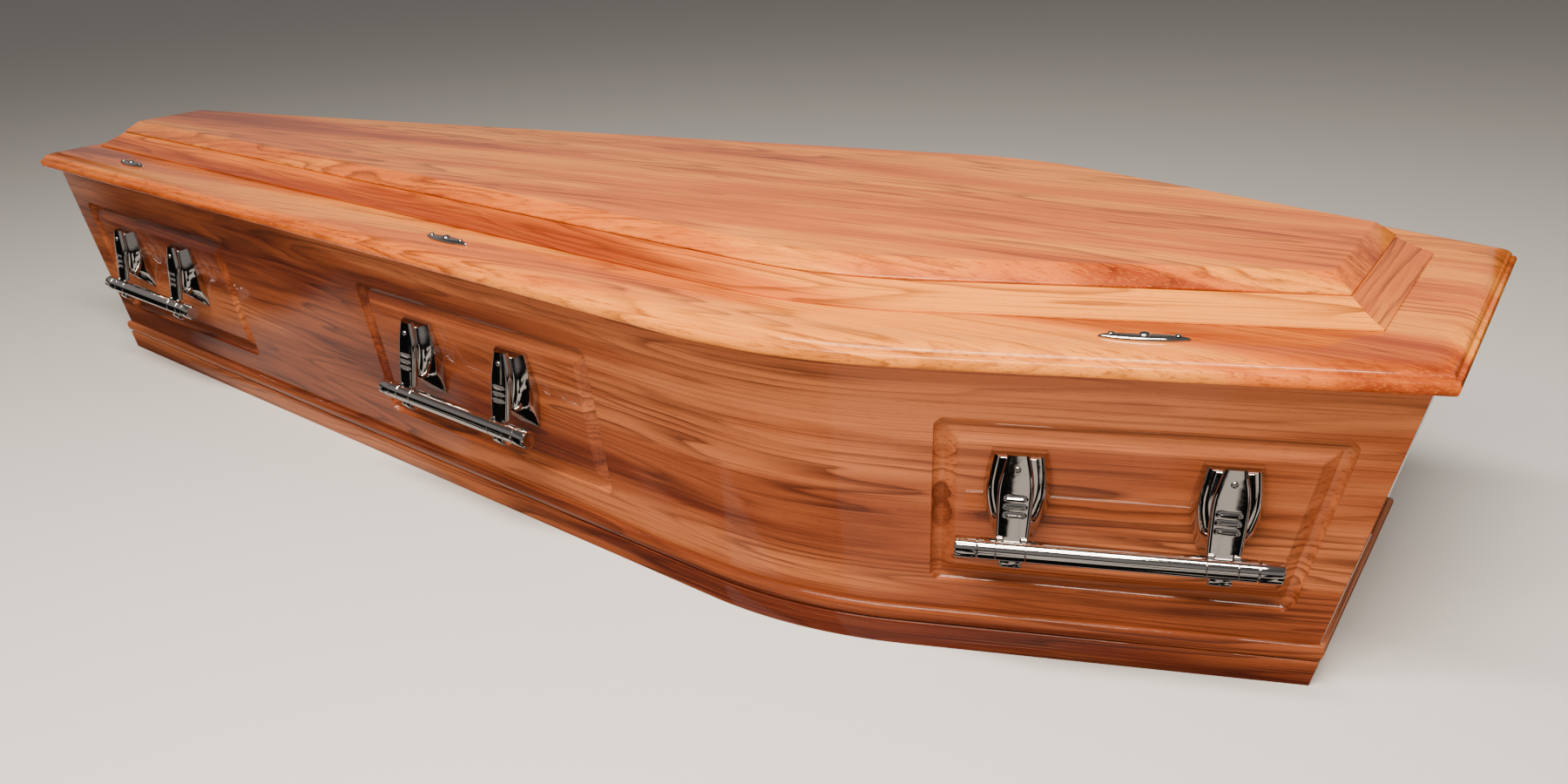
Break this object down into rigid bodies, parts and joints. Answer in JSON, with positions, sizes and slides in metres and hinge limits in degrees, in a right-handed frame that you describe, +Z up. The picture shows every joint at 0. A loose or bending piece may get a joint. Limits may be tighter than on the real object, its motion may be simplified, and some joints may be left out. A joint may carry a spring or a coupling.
{
  "type": "coffin",
  "caption": "Shouldered wooden coffin with a raised panelled lid, routed side panels, a moulded plinth and chrome bar handles.",
  "frame": {"origin": "middle of the footprint, on the surface the coffin stands on", "axes": "+X along the length towards the head end, +Y towards the far long side, +Z up"},
  "size_m": [2, 0.7216, 0.3519],
  "materials": {
    "lid_wood": "high-gloss lacquer over a warm red-brown veneer",
    "side_wood": "high-gloss lacquer over a warm red-brown veneer",
    "floor_wood": "plain board, thinly sealed",
    "handle_chrome": "bright chrome plate",
    "fastener_chrome": "bright chrome plate"
  },
  "bodies": {
    "root": {"floor_board": "floor_wood", "near_side_board": "side_wood", "far_side_board": "side_wood", "foot_end_board": "side_wood", "head_end_board": "side_wood", "near_plinth": "side_wood", "far_plinth": "side_wood", "foot_plinth": "side_wood", "head_plinth": "side_wood", "lid_board": "lid_wood", "near_lid_frame": "lid_wood", "far_lid_frame": "lid_wood", "foot_lid_frame": "lid_wood", "head_lid_frame": "lid_wood", "lid_top_panel": "lid_wood", "near_foot_fastener": "fastener_chrome", "near_middle_fastener": "fastener_chrome", "near_head_fastener": "fastener_chrome", "far_foot_fastener": "fastener_chrome", "far_middle_fastener": "fastener_chrome", "far_head_fastener": "fastener_chrome", "near_foot_handle_bar": "handle_chrome", "near_foot_handle_foot_plate": "handle_chrome", "near_foot_handle_foot_arm": "handle_chrome", "near_foot_handle_head_plate": "handle_chrome", "near_foot_handle_head_arm": "handle_chrome", "near_middle_handle_bar": "handle_chrome", "near_middle_handle_foot_plate": "handle_chrome", "near_middle_handle_foot_arm": "handle_chrome", "near_middle_handle_head_plate": "handle_chrome", "near_middle_handle_head_arm": "handle_chrome", "near_head_handle_bar": "handle_chrome", "near_head_handle_foot_plate": "handle_chrome", "near_head_handle_foot_arm": "handle_chrome", "near_head_handle_head_plate": "handle_chrome", "near_head_handle_head_arm": "handle_chrome", "far_foot_handle_bar": "handle_chrome", "far_foot_handle_foot_plate": "handle_chrome", "far_foot_handle_foot_arm": "handle_chrome", "far_foot_handle_head_plate": "handle_chrome", "far_foot_handle_head_arm": "handle_chrome", "far_middle_handle_bar": "handle_chrome", "far_middle_handle_foot_plate": "handle_chrome", "far_middle_handle_foot_arm": "handle_chrome", "far_middle_handle_head_plate": "handle_chrome", "far_middle_handle_head_arm": "handle_chrome", "far_head_handle_bar": "handle_chrome", "far_head_handle_foot_plate": "handle_chrome", "far_head_handle_foot_arm": "handle_chrome", "far_head_handle_head_plate": "handle_chrome", "far_head_handle_head_arm": "handle_chrome"}
  },
  "joints": []
}
